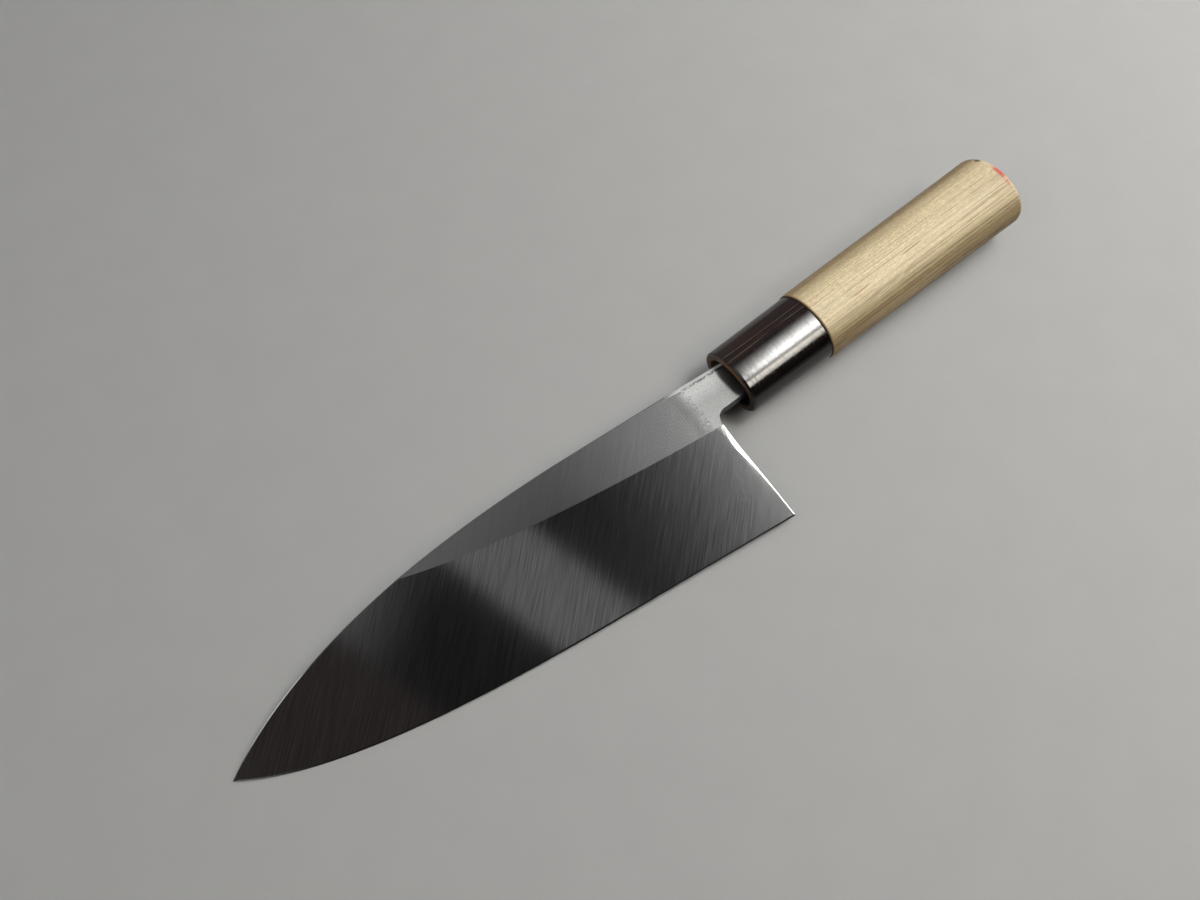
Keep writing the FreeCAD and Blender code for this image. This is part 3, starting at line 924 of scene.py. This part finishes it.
def bedding_material(bedding, axes):
    """Dull dark bedding with a grainy skin"""
    material, tree, shader = new_material("dark_bedding")
    grain = noise(tree, knife_coordinates(tree, axes), cells=(0.8, 0.8, 0.8), detail=4.0, roughness=0.6)
    tree.links.new(mix_colour(tree, grain, bedding.dark, bedding.pale), shader.inputs["Base Color"])
    tree.links.new(spread(tree, grain, bedding.least_roughness, bedding.most_roughness),
                   shader.inputs["Roughness"])
    bump(tree, shader, grain, bedding.grain_depth)
    return material


def table_material(stage):
    """Plain pale table with a hardly visible grain, its cells counted per metre"""
    material, tree, shader = new_material("pale_table")
    position = add_node(tree, "ShaderNodeTexCoord")
    grain = noise(tree, position.outputs["Object"], cells=(60.0, 60.0, 60.0), detail=3.0)
    tree.links.new(mix_colour(tree, grain, shade(stage.floor, 0.96), shade(stage.floor, 1.04)),
                   shader.inputs["Base Color"])
    shader.inputs["Roughness"].default_value = stage.floor_roughness
    return material


# Pieces

def add_object(name, bm):
    mesh = bpy.data.meshes.new(name)
    bm.to_mesh(mesh)
    bm.free()
    made = bpy.data.objects.new(name, mesh)
    bpy.context.scene.collection.objects.link(made)
    return made


def dress(node, material):
    """Gives a CAD node that keeps its shape a finished material"""
    node.data.materials.clear()
    node.data.materials.append(material)


class DEBA_OT_blade(bpy.types.Operator):
    """Models the blade with its tang and gives it ground steel"""

    bl_idname = "deba.blade"
    bl_label = "Blade"

    def execute(self, context):
        scene = context.scene
        steel = scene.deba_steel
        axes = knife_axes(scene.deba_lay)
        bm = make_blade_mesh(scene.deba_lay, scene.deba_blade)
        map_grind(bm, steel.grind_angle)
        bm.transform(axes)
        blade = add_object("ground_blade", bm)
        blade.data.materials.append(steel_material("satin_steel", scene, axes, steel.face_roughness,
                                                   line_share=0.2, pit_share=1.0))
        blade.data.materials.append(steel_material("bevel_steel", scene, axes, steel.bevel_roughness,
                                                   line_share=1.0, pit_share=0.0))
        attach(blade, "root")
        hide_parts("blade")
        return {"FINISHED"}


class DEBA_OT_ferrule(bpy.types.Operator):
    """Gives the ferrule its polished horn"""

    bl_idname = "deba.ferrule"
    bl_label = "Ferrule"

    def execute(self, context):
        lay = context.scene.deba_lay
        dress(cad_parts["ferrule"], horn_material(context.scene.deba_horn, lay, knife_axes(lay)))
        return {"FINISHED"}


class DEBA_OT_handle(bpy.types.Operator):
    """Gives the grip its pale wood"""

    bl_idname = "deba.handle"
    bl_label = "Handle"

    def execute(self, context):
        lay = context.scene.deba_lay
        dress(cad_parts["handle"], wood_material(context.scene.deba_wood, lay, knife_axes(lay)))
        return {"FINISHED"}


class DEBA_OT_bedding(bpy.types.Operator):
    """Gives the tang's bedding its dull dark finish"""

    bl_idname = "deba.bedding"
    bl_label = "Tang bedding"

    def execute(self, context):
        axes = knife_axes(context.scene.deba_lay)
        dress(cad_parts["tang_resin"], bedding_material(context.scene.deba_bedding, axes))
        return {"FINISHED"}


# Stage: places and sizes of the panels are in metres, their turns in degrees

Fade = namedtuple("Fade", "axis dim_at bright_at power")
FLAT = (0.0, 0.0, 0.0)
WHITE = (1.0, 1.0, 1.0)


def glow_material(name, strength, tint=WHITE, fades=(), least=0.0):
    """Glow of a light panel, which rises along the axis of each fade; the least is added all over"""
    material = bpy.data.materials.new(name)
    tree = new_tree(material)
    glow = add_node(tree, "ShaderNodeEmission")
    glow.inputs["Color"].default_value = (*tint, 1.0)
    glow.inputs["Strength"].default_value = strength
    output = add_node(tree, "ShaderNodeOutputMaterial")
    tree.links.new(glow.outputs["Emission"], output.inputs["Surface"])
    if not fades:
        return material
    position = add_node(tree, "ShaderNodeTexCoord")
    sides = dict(zip("XYZ", split(tree, position.outputs["Object"])))
    level = strength
    for fade in fades:
        rise = fit(tree, sides[fade.axis], fade.dim_at, fade.bright_at)
        level = product(tree, math_node(tree, "POWER", rise, fade.power), level)
    tree.links.new(total(tree, level, least), glow.inputs["Strength"])
    return material


def add_panel(name, at, width, depth, material, turn=FLAT):
    """Light panel of the given size, turned by three angles from lying flat"""
    turn_matrix = Euler([math.radians(degrees) for degrees in turn]).to_matrix().to_4x4()
    bm = bmesh.new()
    bmesh.ops.create_grid(bm, x_segments=1, y_segments=1, size=0.5)
    bm.transform(Matrix.Translation(at) @ turn_matrix @ Matrix.Diagonal((width, depth, 1.0, 1.0)))
    panel = add_object(name, bm)
    panel.data.materials.append(material)
    panel.visible_camera = False


def lay_table(stage):
    bm = bmesh.new()
    bmesh.ops.create_grid(bm, x_segments=8, y_segments=8, size=stage.floor_side / 2)
    floor = add_object("table", bm)
    floor.data.materials.append(table_material(stage))


def hang_panels(stage):
    """Windows, walls and cards that light the knife and that its steel and horn mirror"""
    key_fades = (Fade("Y", 0.42, -0.17, 2.0), Fade("Y", -0.45, -0.27, 1.0), Fade("X", 0.40, 0.47, 1.0))
    side_fades = (Fade("Y", -1.02, -0.6, 0.8), Fade("Y", -0.38, -0.58, 1.6))
    wall_fades = (Fade("X", 0.025, 0.41, 2.5),)
    ceiling_fades = (Fade("X", 0.12, 0.25, 1.0),)
    add_panel("key_window", (0.525, -0.015, 0.995), 0.25, 0.83,
              glow_material("key_glow", stage.key_light, stage.key_tint, key_fades, least=0.35))
    add_panel("side_window", (0.59, -0.69, 1.0), 0.28, 0.52,
              glow_material("side_glow", stage.side_light, stage.side_tint, side_fades, least=2.0))
    add_panel("butt_window", (1.15, 0.12, 1.0), 0.6, 0.8,
              glow_material("butt_glow", stage.butt_light), turn=(0.0, 45.0, 0.0))
    add_panel("tip_window", (-1.15, 0.12, 1.0), 0.6, 0.8,
              glow_material("tip_glow", stage.tip_light), turn=(0.0, -45.0, 0.0))
    add_panel("low_window", (1.2, -0.05, 0.27), 0.3, 0.5,
              glow_material("low_glow", stage.low_light), turn=(0.0, 80.0, 0.0))
    add_panel("spill_wall", (0.215, -0.18, 1.0), 0.39, 0.6,
              glow_material("spill_glow", stage.spill_light, fades=wall_fades, least=0.018))
    add_panel("spill_ceiling", (0.265, 0.30, 1.0), 0.31, 0.36,
              glow_material("ceiling_glow", stage.ceiling_light, fades=ceiling_fades, least=0.10))
    add_panel("tip_card", (-0.80, 0.93, 0.2), 0.5, 0.2,
              glow_material("card_glow", stage.card_light), turn=(80.0, 0.0, 37.0))
    add_panel("strip_lamp", (-0.048, -0.136, 0.99), 0.10, 0.42,
              glow_material("strip_glow", stage.strip_light), turn=(0.0, 0.0, 23.6))
    add_panel("warm_card", (-0.50, -0.05, 1.0), 0.36, 0.5,
              glow_material("warm_glow", stage.warm_light, stage.warm_tint), turn=(0.0, 0.0, 23.6))


def light_room(scene, stage):
    """Room that is darker on the camera's side; reflections see a wall there, the camera a backdrop"""
    world = bpy.data.worlds.new("studio")
    scene.world = world
    tree = new_tree(world)
    direction = add_node(tree, "ShaderNodeTexCoord").outputs["Generated"]
    path = add_node(tree, "ShaderNodeLightPath")
    bright_side = add_node(tree, "ShaderNodeVectorMath", operation="DOT_PRODUCT")
    bright_side.inputs[1].default_value = (-0.45, 0.89, 0.0)
    tree.links.new(direction, bright_side.inputs[0])
    level = fit(tree, bright_side.outputs["Value"], 0.0, 0.27, stage.room_shade, stage.room_light, True)

    # The wall ends low enough to leave the edge dark, and lower in the east, where the ferrule looks
    east, north, up = split(tree, direction)
    tall_part = product(tree, fit(tree, east, 0.36, 0.10), fit(tree, up, 0.43, 0.35))
    low_part = fit(tree, up, 0.20, 0.14)
    wall = product(tree, math_node(tree, "MAXIMUM", tall_part, low_part),
                   fit(tree, north, -0.10, -0.35, 0.0, stage.wall_light))
    level = math_node(tree, "MAXIMUM", level, product(tree, path.outputs["Is Glossy Ray"], wall))
    backdrop = product(tree, path.outputs["Is Camera Ray"], stage.backdrop)
    level = math_node(tree, "MAXIMUM", level, backdrop)

    glow = add_node(tree, "ShaderNodeBackground")
    output = add_node(tree, "ShaderNodeOutputWorld")
    tree.links.new(level, glow.inputs["Strength"])
    tree.links.new(glow.outputs["Background"], output.inputs["Surface"])


def place_camera(scene, stage):
    camera = bpy.data.objects.new("camera", bpy.data.cameras.new("camera"))
    camera.data.lens = stage.lens
    camera.data.clip_start = 0.01
    camera.location = stage.camera_at
    sight = Vector(stage.camera_aim) - Vector(stage.camera_at)
    camera.rotation_euler = sight.to_track_quat("-Z", "Y").to_euler()
    scene.collection.objects.link(camera)
    scene.camera = camera


class DEBA_OT_stage(bpy.types.Operator):
    """Lays the table, lights it and places the camera"""

    bl_idname = "deba.stage"
    bl_label = "Table, light and camera"

    def execute(self, context):
        scene = context.scene
        lay_table(scene.deba_stage)
        hang_panels(scene.deba_stage)
        light_room(scene, scene.deba_stage)
        place_camera(scene, scene.deba_stage)
        scene.view_settings.view_transform = "Standard"
        return {"FINISHED"}


OPERATORS = (DEBA_OT_blade, DEBA_OT_ferrule, DEBA_OT_handle, DEBA_OT_bedding, DEBA_OT_stage)


class DEBA_PT_panel(bpy.types.Panel):
    """Lists the steps that dress the knife"""

    bl_label = "Deba knife"
    bl_idname = "DEBA_PT_panel"
    bl_space_type = "VIEW_3D"
    bl_region_type = "UI"
    bl_category = "Deba"

    def draw(self, context):
        for step in OPERATORS:
            self.layout.operator(step.bl_idname)


def register():
    for name, group in SETTINGS:
        bpy.utils.register_class(group)
        setattr(bpy.types.Scene, name, PointerProperty(type=group))
    for item in (*OPERATORS, DEBA_PT_panel):
        bpy.utils.register_class(item)


def unregister():
    for item in (DEBA_PT_panel, *reversed(OPERATORS)):
        bpy.utils.unregister_class(item)
    for name, group in reversed(SETTINGS):
        delattr(bpy.types.Scene, name)
        bpy.utils.unregister_class(group)


def main():
    register()
    bpy.ops.deba.blade()
    bpy.ops.deba.ferrule()
    bpy.ops.deba.handle()
    bpy.ops.deba.bedding()
    bpy.ops.deba.stage()


if __name__ == "__main__":
    main()
